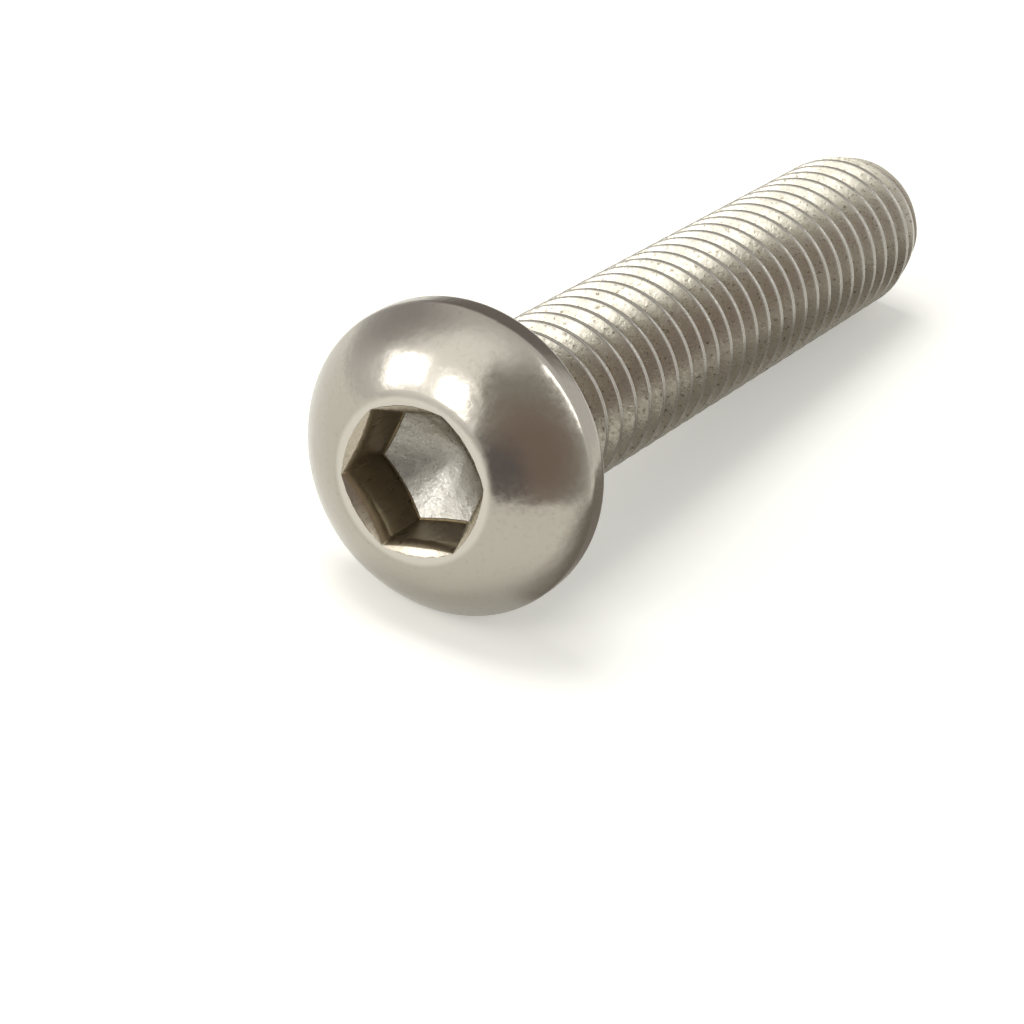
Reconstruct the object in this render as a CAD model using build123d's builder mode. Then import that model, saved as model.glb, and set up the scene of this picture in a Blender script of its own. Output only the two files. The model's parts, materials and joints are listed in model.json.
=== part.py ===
from build123d import *
from math import atan, degrees, radians, tan
import os

# Button head screw with a hexagon socket: metric 6 mm thread, 30 mm long under the
# head, one piece of stainless steel. The head is cold formed and its socket punched.
# Millimetres. The thread is drawn as the plain cylinder that its crests lie on.
# The screw is drawn upright about the Z axis, with the seat, the flat ring under its
# head, at z = 0 and the shank below. At the end it is laid down as it comes to rest.

# shank: a plain neck, a shoulder up to the thread, and a tip that narrows in two steps
length = 30.0
thread_radius = 2.94
neck_radius = 2.70
neck_length = 1.40
shoulder_length = 1.20
seat_fillet = 0.40
tip_radius = 2.25
tip_bevel = 0.30
lead = 1.80

# head: an upright rim, rounded below, then a dome up to a flat land about the socket
head_radius = 5.12
head_height = 3.28
rim_height = 1.10
rim_rounding = 0.55
dome_rise = 0.30
land_radius = 2.72

# socket: a dished mouth, a hexagon that flares where the punch went in, a coned floor
across_flats = 4.06
socket_depth = 2.30
socket_turn = 36.2
mouth_radius = 2.55
mouth_slope = 25
flare = 0.16
flare_depth = 0.45
floor_radius = 1.95
floor_depth = 0.72

# How the screw lies: rolled about its own axis, and tipped from level, because its head
# is wider than its thread and it rests on the rim's rounding and the thread's last turn.
roll = 69.6
tilt = degrees(atan((head_radius - thread_radius) / (length - lead + rim_rounding)))

with BuildPart() as upright:
    # head and shank, turned in one profile
    with BuildSketch(Plane.XZ):
        with BuildLine():
            Polyline(
                (land_radius, head_height),
                (0, head_height),
                (0, -length),
                (tip_radius, -length),
                (tip_radius + tip_bevel, -length + tip_bevel),
                (thread_radius, -length + lead),
                (thread_radius, -neck_length - shoulder_length),
                (neck_radius, -neck_length),
                (neck_radius, 0),
                (head_radius, 0),
                (head_radius, rim_height),
            )
            SagittaArc((head_radius, rim_height), (land_radius, head_height), -dome_rise)
        make_face()
        fillet(vertices().sort_by_distance((neck_radius, 0))[0], seat_fillet)
        fillet(vertices().sort_by_distance((head_radius, 0))[0], rim_rounding)
    revolve(axis=Axis.Z)

    # the punched hexagon, and its flare
    half_flat = across_flats / 2
    with BuildSketch(Plane.XY.offset(head_height)):
        RegularPolygon(half_flat, 6, major_radius=False, rotation=socket_turn)
    extrude(amount=-socket_depth, mode=Mode.SUBTRACT)
    with BuildSketch(Plane.XY.offset(head_height)):
        RegularPolygon(half_flat + flare, 6, major_radius=False, rotation=socket_turn)
    extrude(amount=-flare_depth, taper=degrees(atan(flare / flare_depth)), mode=Mode.SUBTRACT)

    # its dished mouth and coned floor
    mouth_depth = (mouth_radius - floor_radius) * tan(radians(mouth_slope))
    with BuildSketch(Plane.XZ):
        with BuildLine():
            Polyline(
                (0, head_height),
                (mouth_radius, head_height),
                (floor_radius, head_height - mouth_depth),
                (floor_radius, head_height - socket_depth),
                (0, head_height - socket_depth - floor_depth),
                close=True,
            )
        make_face()
    revolve(axis=Axis.Z, mode=Mode.SUBTRACT)

# Laid down, head towards +X, with the origin under its middle, on the ground.
with BuildPart() as tipped:
    add(upright.part, rotation=(0, 90 - tilt, roll))
reach = tipped.part.bounding_box()
with BuildPart() as screw:
    with Locations((-reach.center().X, 0, -reach.min.Z)):
        add(tipped.part)
screw.part.label = "screw"

os.makedirs("parts", exist_ok=True)
export_step(screw.part, "parts/screw.step")
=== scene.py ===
import json
from math import atan2, cos, hypot, pi, radians, sin, tan

import bmesh
import bpy
from mathutils import Matrix, Quaternion, Vector, noise


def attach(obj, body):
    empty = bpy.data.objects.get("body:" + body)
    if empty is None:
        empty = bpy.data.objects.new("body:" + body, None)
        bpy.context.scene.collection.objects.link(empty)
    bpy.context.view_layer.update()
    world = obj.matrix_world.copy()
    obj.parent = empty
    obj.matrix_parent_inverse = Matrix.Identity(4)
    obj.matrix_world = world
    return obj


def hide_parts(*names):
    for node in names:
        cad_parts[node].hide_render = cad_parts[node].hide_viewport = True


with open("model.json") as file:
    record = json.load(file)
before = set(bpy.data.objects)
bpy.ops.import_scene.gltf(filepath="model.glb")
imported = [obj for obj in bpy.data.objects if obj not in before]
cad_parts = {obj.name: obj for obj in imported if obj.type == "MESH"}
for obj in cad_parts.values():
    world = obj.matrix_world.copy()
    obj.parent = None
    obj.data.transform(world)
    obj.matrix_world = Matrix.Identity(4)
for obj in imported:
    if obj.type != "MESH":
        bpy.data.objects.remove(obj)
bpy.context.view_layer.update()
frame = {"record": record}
MM = 0.001

# ---------------------------------------------------------------- head
# The head is cold formed on the end of a stainless steel wire: an upright rim, rounded
# below, a dome and a flat land around the socket. It is turned here about Z with its seat
# at z = 0.
HEAD_RADIUS = 5.119 * MM
HEAD_HEIGHT = 3.28 * MM
RIM_HEIGHT = 1.10 * MM
RIM_ROUNDING = 0.55 * MM
CREASE_ROUNDING = 0.12 * MM
DOME_RISE = 0.30 * MM
DOME_STEPS = 16
LAND_RADIUS = 2.72 * MM
LAND_ROUNDING = 0.20 * MM
NECK_RADIUS = 2.70 * MM
NECK_JOIN = -0.80 * MM
SEAT_FILLET = 0.40 * MM
MOUTH_RADIUS = 2.55 * MM
HEAD_STEPS = 360
FORMED, PUNCHED, STRUCK, ROLLED, DRAWN = range(5)


def wire(mesh, points):
    """Adds a chain of edges through points of (radius, height)."""
    corners = [mesh.verts.new((radius, 0, height)) for radius, height in points]
    for first, second in zip(corners, corners[1:]):
        mesh.edges.new((first, second))


def rounded(mesh, corner, size, segments):
    """Rounds the corner of a chain at (radius, height), by size along both its edges."""
    at = Vector((corner[0], 0, corner[1]))
    nearest = min(mesh.verts, key=lambda vert: (vert.co - at).length)
    bmesh.ops.bevel(mesh, geom=[nearest], offset=size, offset_type="OFFSET", affect="VERTICES",
                    segments=segments, profile=0.5, material=-1)


neck_foot = (NECK_RADIUS, 0)
seat_edge = (HEAD_RADIUS, 0)
crease = (HEAD_RADIUS, RIM_HEIGHT)
dome_end = (LAND_RADIUS, HEAD_HEIGHT)
mouth = (MOUTH_RADIUS, HEAD_HEIGHT)
dome = []
for step in range(DOME_STEPS + 1):
    share = step / DOME_STEPS
    bulge = DOME_RISE * 4 * share * (1 - share)
    run, climb = dome_end[0] - crease[0], dome_end[1] - crease[1]
    dome.append((crease[0] + run * share + bulge * climb / hypot(run, climb),
                 crease[1] + climb * share - bulge * run / hypot(run, climb)))
head = bmesh.new()
wire(head, [(NECK_RADIUS, NECK_JOIN), neck_foot, seat_edge, *dome, mouth])
rounded(head, neck_foot, SEAT_FILLET, 8)
rounded(head, seat_edge, RIM_ROUNDING, 12)
rounded(head, crease, CREASE_ROUNDING, 6)
rounded(head, dome_end, LAND_ROUNDING, 8)

# ---------------------------------------------------------------- socket
# The hexagon is punched into a dished mouth, so each flat starts in a scallop with a
# slightly ragged edge, flares a little where the punch went in, and ends on a coned floor.
SOCKET_TURN = radians(36.2)
SOCKET_DEPTH = 2.30 * MM
ACROSS_FLATS = 4.06 * MM
LIP_BOW = 0.66
LIP_STEP = 0.015 * MM
LIP_WIDTH = 0.015 * MM
LIP_DROP = 0.004 * MM
LIP_RAGGED = 0.018 * MM
STEP_STEEPNESS = tan(radians(67))
STEP_FOOT = 0.03 * MM
SCALLOP_WIDTH = 0.235 * MM
SCALLOP_STEEPNESS = tan(radians(33))
EDGE_WIDTH = 0.01 * MM
EDGE_DROP = 0.02 * MM
EDGE_RAGGED = 0.014 * MM
FLARE = 0.16 * MM
FLARE_DEPTH = 0.45 * MM
FLARE_FOOT = 0.012 * MM
FLARE_RAGGED = 0.03 * MM
WALL_TOP = FLARE_DEPTH + 0.06 * MM
WALL_STEPS = 8
DITCH = [(0.04 * MM, 0.06 * MM), (0.06 * MM, 0.01 * MM)]
FLOOR_EDGE = 0.075 * MM
FLOOR_RADIUS = 1.95 * MM
FLOOR_DEPTH = 0.72 * MM
FLOOR_BLUNT = 0.80 * MM
FLOOR_STEPS = 20
DENT_SIZE = 0.3 * MM
DENT_DEPTH = 0.008 * MM
RAGGED_SCALE = 7
RAGGED_FINER = 2.7
RAGGED_FINE_SHARE = 0.6
LIP_SEED, FLARE_SEED, EDGE_SEED = 1, 2, 3
STEP_ROW = 2
WALL_ROW = 6
FLOOR_ROW = 18
half_flat = ACROSS_FLATS / 2
socket_row = head.verts.layers.int.new("socket_row")


def flat_share(angle):
    """1 at the middle of a flat, and up to 1.155 at a corner of the hexagon."""
    return 1 / cos((angle - SOCKET_TURN) % (pi / 3) - pi / 6)


def raggedness(angle, seed):
    """A small uneven number for an edge that was sheared, up to about 1 each way."""
    place = Vector((cos(angle), sin(angle), seed)) * RAGGED_SCALE
    return noise.noise(place) + RAGGED_FINE_SHARE * noise.noise(place * RAGGED_FINER)


def socket_floor(radius):
    """The depth of the floor, a cone with a blunt point, at a distance from the axis."""
    rise = hypot(FLOOR_RADIUS, FLOOR_BLUNT) - hypot(radius, FLOOR_BLUNT)
    return SOCKET_DEPTH + FLOOR_DEPTH * rise / (hypot(FLOOR_RADIUS, FLOOR_BLUNT) - FLOOR_BLUNT)


def socket_profile(angle):
    """The socket's (radius, depth) points at an angle, from its mouth to its floor's middle."""
    share = flat_share(angle)
    wall = half_flat * share
    chord = (half_flat + FLARE) * share
    lip = chord + (MOUTH_RADIUS - chord) * LIP_BOW
    # 1 where the scallop is widest, and almost nothing at the hexagon's corners
    width = (lip - chord) / SCALLOP_WIDTH
    step = width * LIP_STEP
    scallop = step + (lip - step / STEP_STEEPNESS - chord) * SCALLOP_STEEPNESS
    lip += width * LIP_RAGGED * raggedness(angle, LIP_SEED)
    # the steep step under the lip ends where it meets the slope of the scallop
    step_end = lip * STEP_STEEPNESS - chord * SCALLOP_STEEPNESS - scallop
    step_end /= STEP_STEEPNESS - SCALLOP_STEEPNESS
    step_depth = scallop - (step_end - chord) * SCALLOP_STEEPNESS
    step_foot = STEP_FOOT * width
    edge = chord + EDGE_RAGGED * width * raggedness(angle, EDGE_SEED)
    foot = socket_floor(wall)
    points = [
        (MOUTH_RADIUS, 0),
        (lip + LIP_WIDTH * width, 0),
        (lip, LIP_DROP * width),
        (step_end, step_depth),
        (step_end - step_foot, step_depth + step_foot * SCALLOP_STEEPNESS),
        (edge + EDGE_WIDTH, scallop),
        (edge - EDGE_WIDTH, scallop + EDGE_DROP),
        (wall + FLARE_FOOT, FLARE_DEPTH + FLARE_RAGGED * raggedness(angle, FLARE_SEED)),
        (wall, WALL_TOP),
    ]
    for part in range(1, WALL_STEPS + 1):
        points.append((wall, WALL_TOP + (foot - FLARE_DEPTH) * part / WALL_STEPS))
    points += [(wall - inward, foot + deeper) for inward, deeper in DITCH]
    for part in range(FLOOR_STEPS, -1, -1):
        radius = (wall - FLOOR_EDGE) * part / FLOOR_STEPS
        place = Vector((radius * cos(angle), radius * sin(angle), 0)) / DENT_SIZE
        points.append((radius, socket_floor(radius) + noise.noise(place) * DENT_DEPTH))
    return points


mouth_place = Vector((MOUTH_RADIUS, 0, HEAD_HEIGHT))
last = min(head.verts, key=lambda vert: (vert.co - mouth_place).length)
for row, (radius, depth) in enumerate(socket_profile(0)[1:], start=1):
    corner = head.verts.new((radius, 0, HEAD_HEIGHT - depth))
    corner[socket_row] = row
    head.edges.new((last, corner))
    last = corner
bmesh.ops.spin(head, geom=head.verts[:] + head.edges[:], cent=(0, 0, 0), axis=(0, 0, 1),
               angle=2 * pi, steps=HEAD_STEPS, use_merge=True)
for vert in head.verts:
    if vert[socket_row]:
        angle = atan2(vert.co.y, vert.co.x)
        radius, depth = socket_profile(angle)[vert[socket_row]]
        vert.co = Vector((radius * cos(angle), radius * sin(angle), HEAD_HEIGHT - depth))
bmesh.ops.remove_doubles(head, verts=head.verts, dist=1e-7)
for face in head.faces:
    row = min(vert[socket_row] for vert in face.verts)
    if row >= FLOOR_ROW:
        face.material_index = STRUCK
    elif row >= WALL_ROW:
        face.material_index = DRAWN
    elif row >= STEP_ROW:
        face.material_index = PUNCHED
    else:
        face.material_index = FORMED

# ---------------------------------------------------------------- thread
# The thread is rolled between flat dies: rounded roots, straight 30 degree flanks, and
# crests that close in a fine seam. It runs out into the neck and narrows to the tip.
LENGTH = 29.995 * MM
PITCH = 1.0 * MM
CREST_RADIUS = 2.94 * MM
ROOT_RADIUS = 2.39 * MM
NECK_LENGTH = 1.40 * MM
RUN_OUT = 1.20 * MM
TIP_RADIUS = 2.25 * MM
TIP_BEVEL = 0.30 * MM
LEAD = 1.80 * MM
SEAM_DEPTH = 0.02 * MM
STEPS_PER_TURN = 96
JOIN_GAP = 0.2 * MM
BELOW_SEAT = -0.01 * MM
SHARP_EDGE = radians(30)


def between(value, start, end, low, high):
    """low at start, high at end, and in line between."""
    share = min(1, max(0, (value - start) / (end - start)))
    return low + (high - low) * share


def thread_limits(height):
    """The smallest and largest radius that the thread has at a height."""
    largest = between(height, -NECK_LENGTH - RUN_OUT, -NECK_LENGTH, CREST_RADIUS, NECK_RADIUS)
    smallest = between(height, -NECK_LENGTH - RUN_OUT, -NECK_LENGTH, ROOT_RADIUS, NECK_RADIUS)
    bevel_top = -LENGTH + TIP_BEVEL
    if height < bevel_top:
        largest = between(height, -LENGTH, bevel_top, TIP_RADIUS, TIP_RADIUS + TIP_BEVEL)
    elif height < -LENGTH + LEAD:
        largest = between(height, bevel_top, -LENGTH + LEAD, TIP_RADIUS + TIP_BEVEL, CREST_RADIUS)
    return min(smallest, largest), largest


# half of one turn, from the middle of the root to beside the seam, as radius and distance
# from the seam
half_profile = [
    (ROOT_RADIUS, 0.50 * PITCH),
    (ROOT_RADIUS + 0.015 * MM, 0.43 * PITCH),
    (ROOT_RADIUS + 0.065 * MM, 0.37 * PITCH),
    (ROOT_RADIUS + 0.30 * MM, 0.235 * PITCH),
    (CREST_RADIUS - 0.045 * MM, 0.125 * PITCH),
    (CREST_RADIUS - 0.018 * MM, 0.108 * PITCH),
    (CREST_RADIUS, 0.090 * PITCH),
    (CREST_RADIUS, 0.030 * PITCH),
]
first_seam = -LENGTH - PITCH
profile = [(radius, first_seam - rise) for radius, rise in half_profile]
profile.append((CREST_RADIUS - SEAM_DEPTH, first_seam))
profile += [(radius, first_seam + rise) for radius, rise in reversed(half_profile)]
thread = bmesh.new()
wire(thread, profile)
bmesh.ops.spin(thread, geom=thread.verts[:] + thread.edges[:], cent=(0, 0, 0), axis=(0, 0, 1),
               dvec=(0, 0, PITCH / STEPS_PER_TURN), angle=2 * pi, steps=STEPS_PER_TURN,
               use_merge=False)
turns = 1
while turns < LENGTH / PITCH:
    copied = bmesh.ops.duplicate(thread, geom=thread.verts[:] + thread.edges[:] + thread.faces[:])
    moved = [part for part in copied["geom"] if isinstance(part, bmesh.types.BMVert)]
    bmesh.ops.translate(thread, verts=moved, vec=(0, 0, turns * PITCH))
    turns *= 2
bmesh.ops.remove_doubles(thread, verts=thread.verts, dist=1e-6)
for vert in thread.verts:
    smallest, largest = thread_limits(vert.co.z)
    radius = hypot(vert.co.x, vert.co.y)
    scale = min(largest, max(smallest, radius)) / radius
    vert.co = Vector((vert.co.x * scale, vert.co.y * scale, vert.co.z))


def trimmed(mesh, height, away):
    """Cuts a mesh off level, on the side that away points to, and gives the cut's edges."""
    cut = bmesh.ops.bisect_plane(mesh, geom=mesh.verts[:] + mesh.edges[:] + mesh.faces[:],
                                 plane_co=(0, 0, height), plane_no=(0, 0, away), clear_outer=True)
    return [part for part in cut["geom_cut"] if isinstance(part, bmesh.types.BMEdge)]


trimmed(thread, NECK_JOIN - JOIN_GAP, 1)
bmesh.ops.contextual_create(thread, geom=trimmed(thread, -LENGTH, -1))

# the thread grows out of the neck: both meshes become one, bridged at the join
carried = bpy.data.meshes.new("thread")
thread.to_mesh(carried)
thread.free()
head.from_mesh(carried)
bpy.data.meshes.remove(carried)
open_edges = [edge for edge in head.edges if edge.is_boundary]
bmesh.ops.bridge_loops(head, edges=open_edges)
bmesh.ops.recalc_face_normals(head, faces=head.faces)

for face in head.faces:
    face.smooth = True
    if face.calc_center_median().z < BELOW_SEAT:
        face.material_index = ROLLED
for edge in head.edges:
    edge.smooth = edge.calc_face_angle(0) < SHARP_EDGE

# laid down as it rests, by the seat's place and direction in the frame
ROLL = radians(69.6)
seat = next(mount for mount in frame["record"]["mounts"] if mount["name"] == "under_head_seat")
axis = -Vector(seat["axis"])
seat_middle = Vector((seat["pos_m"][0], 0, seat["pos_m"][2]))
lean = atan2(axis.x, axis.z)
turned = Matrix.Rotation(lean, 4, "Y") @ Matrix.Rotation(ROLL, 4, "Z")
lying = Matrix.Translation(seat_middle) @ turned
bmesh.ops.transform(head, matrix=lying, verts=head.verts)

screw_mesh = bpy.data.meshes.new("screw")
head.to_mesh(screw_mesh)
head.free()
screw = bpy.data.objects.new("button_head_screw", screw_mesh)
bpy.context.scene.collection.objects.link(screw)

# ---------------------------------------------------------------- steel
# Plain stainless steel, as it leaves the tools: satin on the pressed head, dull where the
# punch went in, drawn and dark on the socket's walls, pitted on its floor, and specked on the
# thread, with painted shade that darkens the thread towards its roots.
MIX_SHARE, MIX_BELOW, MIX_ABOVE = 0, 6, 7
MIX_RESULT = 2
SPECK_FADE = (0.57, 0.66)
GRAIN_LOW = 0.3
GRAIN_HIGH = 0.7


def fade(nodes, links, value, start, end):
    """0 at start and 1 at end, whichever of the two is the larger number."""
    edge = nodes.new("ShaderNodeMapRange")
    edge.interpolation_type = "SMOOTHSTEP"
    edge.inputs["From Min"].default_value = min(start, end)
    edge.inputs["From Max"].default_value = max(start, end)
    if start > end:
        edge.inputs["To Min"].default_value = 1
        edge.inputs["To Max"].default_value = 0
    links.new(value, edge.inputs["Value"])
    return edge.outputs["Result"]


def product(nodes, links, values):
    """All the given masks multiplied together."""
    total = values[0]
    for value in values[1:]:
        times = nodes.new("ShaderNodeMath")
        times.operation = "MULTIPLY"
        links.new(total, times.inputs[0])
        links.new(value, times.inputs[1])
        total = times.outputs["Value"]
    return total


def blend(nodes, links, share, below, above):
    """Lays one colour over another by a mask. Each is a socket or three numbers."""
    mix = nodes.new("ShaderNodeMix")
    mix.data_type = "RGBA"
    links.new(share, mix.inputs[MIX_SHARE])
    for slot, colour in ((mix.inputs[MIX_BELOW], below), (mix.inputs[MIX_ABOVE], above)):
        if isinstance(colour, bpy.types.NodeSocket):
            links.new(colour, slot)
        else:
            slot.default_value = (*colour, 1)
    return mix.outputs[MIX_RESULT]


grain = bpy.data.node_groups.new("steel_grain", "ShaderNodeTree")
grain.interface.new_socket(name="Vector", in_out="INPUT", socket_type="NodeSocketVector")
for name in ("Fine Scale", "Broad Scale", "Speck Size"):
    grain.interface.new_socket(name=name, in_out="INPUT", socket_type="NodeSocketFloat")
for name in ("Fine", "Broad", "Specks", "Reach"):
    grain.interface.new_socket(name=name, in_out="OUTPUT", socket_type="NodeSocketFloat")
given = grain.nodes.new("NodeGroupInput")
result = grain.nodes.new("NodeGroupOutput")


def grain_noise(scale, detail, roughness):
    """Noise at one of the group's scales."""
    node = grain.nodes.new("ShaderNodeTexNoise")
    node.inputs["Detail"].default_value = detail
    node.inputs["Roughness"].default_value = roughness
    grain.links.new(given.outputs["Vector"], node.inputs["Vector"])
    grain.links.new(given.outputs[scale], node.inputs["Scale"])
    return node.outputs["Fac"]


grain.links.new(grain_noise("Fine Scale", 3, 0.6), result.inputs["Fine"])
grain.links.new(grain_noise("Broad Scale", 2, 0.5), result.inputs["Broad"])
specks = fade(grain.nodes, grain.links, grain_noise("Fine Scale", 4, 0.7), *SPECK_FADE)
specks = product(grain.nodes, grain.links, [specks, given.outputs["Speck Size"]])
grain.links.new(specks, result.inputs["Specks"])
across = grain.nodes.new("ShaderNodeVectorMath")
across.operation = "MULTIPLY"
across.inputs[1].default_value = (1, 1, 0)
grain.links.new(given.outputs["Vector"], across.inputs[0])
reach = grain.nodes.new("ShaderNodeVectorMath")
reach.operation = "LENGTH"
grain.links.new(across.outputs["Vector"], reach.inputs[0])
grain.links.new(reach.outputs["Value"], result.inputs["Reach"])


def steel(name, pale, dark, smooth, rough, fine_scale, broad_scale, fine_height, broad_height,
          stretch=1, specks=0.5, rings=()):
    """A steel whose colour and gloss vary between two values, with a fine and a broad relief.

    Each ring is another tone, near the axis or far from it, with the distances from the
    axis where it is full and where it is gone.
    """
    material = bpy.data.materials.new(name)
    material.use_nodes = True
    nodes, links = material.node_tree.nodes, material.node_tree.links
    shader = nodes["Principled BSDF"]
    shader.inputs["Metallic"].default_value = 1
    place = nodes.new("ShaderNodeTexCoord")
    upright = nodes.new("ShaderNodeMapping")
    upright.vector_type = "TEXTURE"
    upright.inputs["Location"].default_value = lying.translation
    upright.inputs["Rotation"].default_value = lying.to_euler()
    links.new(place.outputs["Object"], upright.inputs["Vector"])
    drawn = nodes.new("ShaderNodeMapping")
    drawn.inputs["Scale"].default_value = (1, 1, stretch)
    links.new(upright.outputs["Vector"], drawn.inputs["Vector"])
    pattern = nodes.new("ShaderNodeGroup")
    pattern.node_tree = grain
    pattern.inputs["Fine Scale"].default_value = fine_scale
    pattern.inputs["Broad Scale"].default_value = broad_scale
    pattern.inputs["Speck Size"].default_value = specks
    links.new(drawn.outputs["Vector"], pattern.inputs["Vector"])
    colour = blend(nodes, links, pattern.outputs["Specks"], pale, dark)
    for tone, full, gone in rings:
        share = fade(nodes, links, pattern.outputs["Reach"], gone, full)
        colour = blend(nodes, links, share, colour, tone)
    links.new(colour, shader.inputs["Base Color"])
    gloss = nodes.new("ShaderNodeMapRange")
    gloss.inputs["From Min"].default_value = GRAIN_LOW
    gloss.inputs["From Max"].default_value = GRAIN_HIGH
    gloss.inputs["To Min"].default_value = smooth
    gloss.inputs["To Max"].default_value = rough
    links.new(pattern.outputs["Fine"], gloss.inputs["Value"])
    links.new(gloss.outputs["Result"], shader.inputs["Roughness"])
    waves = nodes.new("ShaderNodeBump")
    waves.inputs["Distance"].default_value = broad_height
    links.new(pattern.outputs["Broad"], waves.inputs["Height"])
    pits = nodes.new("ShaderNodeBump")
    pits.inputs["Distance"].default_value = fine_height
    links.new(pattern.outputs["Fine"], pits.inputs["Height"])
    links.new(waves.outputs["Normal"], pits.inputs["Normal"])
    links.new(pits.outputs["Normal"], shader.inputs["Normal"])
    return material


# in the order of FORMED, PUNCHED, STRUCK, ROLLED and DRAWN
screw_mesh.materials.append(steel(
    "formed_steel", pale=(0.412, 0.385, 0.338), dark=(0.345, 0.32, 0.278),
    smooth=0.15, rough=0.24, fine_scale=7000, broad_scale=900,
    fine_height=0.0025 * MM, broad_height=0.028 * MM,
    rings=[((0.55, 0.52, 0.47), 2.60 * MM, 2.80 * MM)]))
screw_mesh.materials.append(steel(
    "punched_steel", pale=(0.42, 0.375, 0.30), dark=(0.26, 0.22, 0.165),
    smooth=0.24, rough=0.34, fine_scale=6000, broad_scale=2500,
    fine_height=0.003 * MM, broad_height=0.004 * MM, specks=0.3))
screw_mesh.materials.append(steel(
    "struck_steel", pale=(0.345, 0.33, 0.295), dark=(0.22, 0.19, 0.155),
    smooth=0.24, rough=0.42, fine_scale=11000, broad_scale=2200,
    fine_height=0.008 * MM, broad_height=0.016 * MM, specks=0.7))
screw_mesh.materials.append(steel(
    "rolled_steel", pale=(0.42, 0.395, 0.335), dark=(0.13, 0.105, 0.075),
    smooth=0.24, rough=0.38, fine_scale=7500, broad_scale=1600,
    fine_height=0.011 * MM, broad_height=0.012 * MM, specks=0.9,
    # the first ring is painted shade: the thread's colour grows darker towards its roots
    rings=[((0.17, 0.13, 0.10), ROOT_RADIUS, ROOT_RADIUS + 0.28 * MM),
           ((0.41, 0.39, 0.35), CREST_RADIUS - 0.015 * MM, CREST_RADIUS - 0.03 * MM)]))
screw_mesh.materials.append(steel(
    "drawn_steel", pale=(0.37, 0.315, 0.225), dark=(0.19, 0.155, 0.105),
    smooth=0.26, rough=0.38, fine_scale=5000, broad_scale=2500,
    fine_height=0.002 * MM, broad_height=0.004 * MM, stretch=0.2, specks=0.4))
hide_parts("screw")
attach(screw, "root")

# ---------------------------------------------------------------- floor
# A sheet of matt white paper on a flat table, with the screw lying loose on it. It is lit
# to plain white and keeps the screw's soft shadow.
PAPER_LIFT = 0.26
PAPER_LIFT_TO_CAMERA = 0.08
floor_mesh = bpy.data.meshes.new("floor")
plane = bmesh.new()
bmesh.ops.create_grid(plane, x_segments=1, y_segments=1, size=1.5)
plane.to_mesh(floor_mesh)
plane.free()
ground = bpy.data.objects.new("floor", floor_mesh)
bpy.context.scene.collection.objects.link(ground)
paper = bpy.data.materials.new("white_paper")
paper.use_nodes = True
nodes, links = paper.node_tree.nodes, paper.node_tree.links
shader = nodes["Principled BSDF"]
shader.inputs["Base Color"].default_value = (0.81, 0.80, 0.745, 1)
shader.inputs["Roughness"].default_value = 0.9
shader.inputs["Specular IOR Level"].default_value = 0
shader.inputs["Emission Color"].default_value = (1, 0.99, 0.95, 1)


def seen_rays(nodes, links):
    """1 for what the camera sees, straight or in metal or glass, and 0 for the rest."""
    path = nodes.new("ShaderNodeLightPath")
    first = nodes.new("ShaderNodeMath")
    first.operation = "MAXIMUM"
    links.new(path.outputs["Is Camera Ray"], first.inputs[0])
    links.new(path.outputs["Is Glossy Ray"], first.inputs[1])
    second = nodes.new("ShaderNodeMath")
    second.operation = "MAXIMUM"
    links.new(first.outputs["Value"], second.inputs[0])
    links.new(path.outputs["Is Transmission Ray"], second.inputs[1])
    return second.outputs["Value"]


lift = nodes.new("ShaderNodeMath")
lift.operation = "MULTIPLY"
lift.inputs[1].default_value = PAPER_LIFT
links.new(seen_rays(nodes, links), lift.inputs[0])
straight = nodes.new("ShaderNodeMath")
straight.operation = "MULTIPLY_ADD"
straight.inputs[1].default_value = PAPER_LIFT_TO_CAMERA
links.new(nodes.new("ShaderNodeLightPath").outputs["Is Camera Ray"], straight.inputs[0])
links.new(lift.outputs["Value"], straight.inputs[2])
links.new(straight.outputs["Value"], shader.inputs["Emission Strength"])
floor_mesh.materials.append(paper)

# ---------------------------------------------------------------- light
# A pale room with two big soft lamps in front on the left, a slim one on the right and one
# overhead. Its walls aren't even: they are bright in front on the left and dim behind.
LAMP_DISTANCE = 0.6
WALL_TONE = (0.91, 0.90, 0.88)
TONE_ON_PAPER = (0.45, 0.45, 0.45)
scene = bpy.context.scene
scene.view_settings.view_transform = "Standard"
world = bpy.data.worlds.new("room")
scene.world = world
world.use_nodes = True
nodes, links = world.node_tree.nodes, world.node_tree.links


def toward(azimuth, height):
    """A direction, by its bearing about Z from +X and its height, both in degrees."""
    return Vector((cos(radians(azimuth)) * cos(radians(height)),
                   sin(radians(azimuth)) * cos(radians(height)), sin(radians(height))))


def patch(nodes, links, place, below, azimuth, height, inner, outer, tone):
    """Lays a soft round patch of colour over another, by its direction and its two radii."""
    dot = nodes.new("ShaderNodeVectorMath")
    dot.operation = "DOT_PRODUCT"
    dot.inputs[1].default_value = toward(azimuth, height)
    links.new(place, dot.inputs[0])
    start, end = cos(radians(outer)), cos(radians(inner))
    share = fade(nodes, links, dot.outputs["Value"], start, end)
    return blend(nodes, links, share, below, tone)


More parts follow.
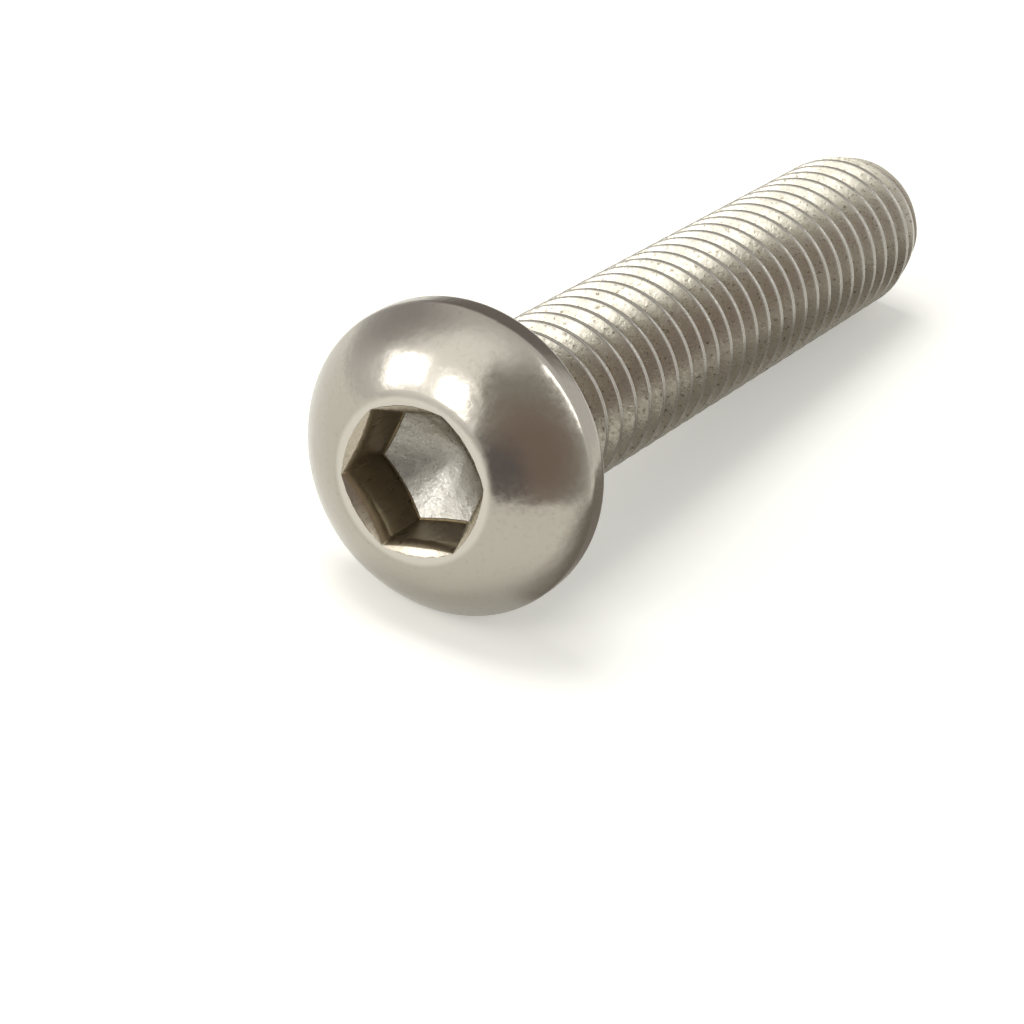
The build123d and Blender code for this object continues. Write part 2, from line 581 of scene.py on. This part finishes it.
# azimuth, height, inner and outer radius in degrees, and tone
WALL_PATCHES = [
    (-30, 48, 14, 54, (1.58, 1.58, 1.52)),
    (-112, 36, 10, 42, (0.50, 0.48, 0.48)),
    (-150, 58, 10, 38, (0.86, 0.84, 0.82)),
    (-164, 24, 20, 36, (0.27, 0.245, 0.23)),
]
place = nodes.new("ShaderNodeTexCoord").outputs["Generated"]
room = WALL_TONE
for azimuth, height, inner, outer, tone in WALL_PATCHES:
    room = patch(nodes, links, place, room, azimuth, height, inner, outer, tone)
path = nodes.new("ShaderNodeLightPath")
even = blend(nodes, links, path.outputs["Is Diffuse Ray"], room, TONE_ON_PAPER)
white = blend(nodes, links, path.outputs["Is Camera Ray"], even, (1, 1, 1))
links.new(white, nodes["Background"].inputs["Color"])


def lamp(name, azimuth, height, width, depth, radiance, turn=0):
    """A soft lamp aimed at the screw's head, placed by its direction in degrees."""
    light = bpy.data.lights.new(name, "AREA")
    light.shape = "RECTANGLE"
    light.size, light.size_y = width, depth
    light.energy = radiance * pi * width * depth
    light_object = bpy.data.objects.new(name, light)
    light_object.location = seat_middle + toward(azimuth, height) * LAMP_DISTANCE
    light_object.rotation_mode = "QUATERNION"
    aim = toward(azimuth, height).to_track_quat("Z", "Y")
    light_object.rotation_quaternion = aim @ Quaternion((0, 0, 1), radians(turn))
    scene.collection.objects.link(light_object)
    return light_object


lamp("left_lamp", azimuth=-52, height=28, width=0.23, depth=0.21, radiance=4.5, turn=42)
lamp("front_lamp", azimuth=-14, height=33, width=0.17, depth=0.24, radiance=4.5, turn=12)
slim = lamp("right_lamp", azimuth=102, height=45, width=0.10, depth=0.42, radiance=4.5)
slim.visible_diffuse = False
overhead = lamp("overhead_lamp", azimuth=-90, height=72, width=0.30, depth=0.30, radiance=6.6)
overhead.visible_glossy = False

# ---------------------------------------------------------------- dark card
# A dull, dark card curves around the front of the screw, on the right, and stands on the
# table. Only the steel sees it, so that it shapes the dome without shading the paper.
CARD_RADIUS = 27 * MM
CARD_FOOT = 0.1 * MM
CARD_AZIMUTH = 50
CARD_TONE = (0.42, 0.40, 0.35)
# azimuth, height, inner and outer radius in degrees, and tone
WARM_PATCH = (50, 18, 8, 42, (0.33, 0.25, 0.21))
DIM_PATCH = (26, 4, 4, 26, (0.19, 0.17, 0.17))
# where each edge is gone and where it is full, as azimuths and as heights in degrees
CARD_SIDES = [(1, 15), (102, 78)]
CARD_ENDS = [(80, 58), (-13, -8)]


def glow_through(nodes, links, cover, colour):
    """Ends a material that glows in a colour where its mask is 1 and is clear where it is 0."""
    glow = nodes.new("ShaderNodeEmission")
    if isinstance(colour, bpy.types.NodeSocket):
        links.new(colour, glow.inputs["Color"])
    else:
        glow.inputs["Color"].default_value = (*colour, 1)
    clear = nodes.new("ShaderNodeBsdfTransparent")
    shown = nodes.new("ShaderNodeMixShader")
    links.new(cover, shown.inputs[0])
    links.new(clear.outputs[0], shown.inputs[1])
    links.new(glow.outputs[0], shown.inputs[2])
    links.new(shown.outputs[0], nodes["Material Output"].inputs["Surface"])


def only_for_steel(piece):
    """Hides a piece from the camera and the paper, and lets light through it."""
    piece.visible_camera = False
    piece.visible_diffuse = False
    piece.visible_shadow = False


card = bmesh.new()
bmesh.ops.create_uvsphere(card, u_segments=96, v_segments=48, radius=CARD_RADIUS)
bmesh.ops.translate(card, verts=card.verts, vec=seat_middle)
card_cuts = [((0, 0, CARD_FOOT), (0, 0, -1)), (seat_middle, -toward(CARD_AZIMUTH, 0))]
for middle, outward in card_cuts:
    bmesh.ops.bisect_plane(card, geom=card.verts[:] + card.edges[:] + card.faces[:],
                           plane_co=middle, plane_no=outward, clear_outer=True)
card_mesh = bpy.data.meshes.new("dark_card")
card.to_mesh(card_mesh)
card.free()
card_object = bpy.data.objects.new("dark_card", card_mesh)
scene.collection.objects.link(card_object)
only_for_steel(card_object)
felt = bpy.data.materials.new("dark_felt")
felt.use_nodes = True
nodes, links = felt.node_tree.nodes, felt.node_tree.links
nodes.remove(nodes["Principled BSDF"])
centred = nodes.new("ShaderNodeMapping")
centred.vector_type = "TEXTURE"
centred.inputs["Location"].default_value = seat_middle
links.new(nodes.new("ShaderNodeTexCoord").outputs["Object"], centred.inputs["Vector"])
unit = nodes.new("ShaderNodeVectorMath")
unit.operation = "NORMALIZE"
links.new(centred.outputs["Vector"], unit.inputs[0])
parts = nodes.new("ShaderNodeSeparateXYZ")
links.new(unit.outputs["Vector"], parts.inputs[0])
bearing = nodes.new("ShaderNodeMath")
bearing.operation = "ARCTAN2"
links.new(parts.outputs["Y"], bearing.inputs[0])
links.new(parts.outputs["X"], bearing.inputs[1])
rise = nodes.new("ShaderNodeMath")
rise.operation = "ARCSINE"
links.new(parts.outputs["Z"], rise.inputs[0])
edges = [(bearing, side) for side in CARD_SIDES] + [(rise, end) for end in CARD_ENDS]
cover = product(nodes, links, [
    fade(nodes, links, angle.outputs["Value"], radians(gone), radians(full))
    for angle, (gone, full) in edges])
cloth = patch(nodes, links, unit.outputs["Vector"], CARD_TONE, *WARM_PATCH)
cloth = patch(nodes, links, unit.outputs["Vector"], cloth, *DIM_PATCH)
glow_through(nodes, links, cover, cloth)
card_mesh.materials.append(felt)

# ---------------------------------------------------------------- painted shadow strip
# A strip of painted shadow lies on the table beside the screw, with soft edges: a dim glow
# that only the steel sees. It darkens the underside of the thread in the steel's reflections.
STRIP_LENGTH = 44 * MM
STRIP_WIDTH = 24 * MM
STRIP_PLACE = (3 * MM, 15 * MM, 0.03 * MM)
# the tone of the painted shadow, a dim glow that stands in for shade
PAINTED_SHADOW_TONE = (0.30, 0.27, 0.235)
# where each edge is gone and where it is full, along X and along Y
STRIP_EDGES = [("X", -18 * MM, -13 * MM), ("X", 16.5 * MM, 13.5 * MM),
               ("Y", 3.2 * MM, 4.5 * MM), ("Y", 26 * MM, 20 * MM)]
strip = bmesh.new()
bmesh.ops.create_grid(strip, x_segments=1, y_segments=1, size=0.5)
bmesh.ops.scale(strip, vec=(STRIP_LENGTH, STRIP_WIDTH, 1), verts=strip.verts)
bmesh.ops.translate(strip, vec=STRIP_PLACE, verts=strip.verts)
strip_mesh = bpy.data.meshes.new("painted_shadow_strip")
strip.to_mesh(strip_mesh)
strip.free()
strip_object = bpy.data.objects.new("painted_shadow_strip", strip_mesh)
scene.collection.objects.link(strip_object)
only_for_steel(strip_object)
paint = bpy.data.materials.new("painted_shadow_glow")
paint.use_nodes = True
nodes, links = paint.node_tree.nodes, paint.node_tree.links
nodes.remove(nodes["Principled BSDF"])
parts = nodes.new("ShaderNodeSeparateXYZ")
links.new(nodes.new("ShaderNodeTexCoord").outputs["Object"], parts.inputs[0])
cover = product(nodes, links, [
    fade(nodes, links, parts.outputs[along], gone, full) for along, gone, full in STRIP_EDGES])
glow_through(nodes, links, cover, PAINTED_SHADOW_TONE)
strip_mesh.materials.append(paint)

# ---------------------------------------------------------------- camera
# A long lens on a stand beyond the head's end, looking back along the screw and down at
# it, with the camera rolled a little. Nothing in view is out of focus.
camera_data = bpy.data.cameras.new("camera")
camera = bpy.data.objects.new("camera", camera_data)
scene.collection.objects.link(camera)
scene.camera = camera
camera_data.sensor_width = 36
camera_data.lens = 120.4
camera_data.clip_start = 0.005
eye = Vector((96.667, 42.810, 56.732)) * MM
view = Vector((-0.77928, -0.38224, -0.49661))
camera_roll = radians(8.733)
camera.location = eye
camera.rotation_mode = "QUATERNION"
camera.rotation_quaternion = view.to_track_quat("-Z", "Y") @ Quaternion((0, 0, 1), camera_roll)
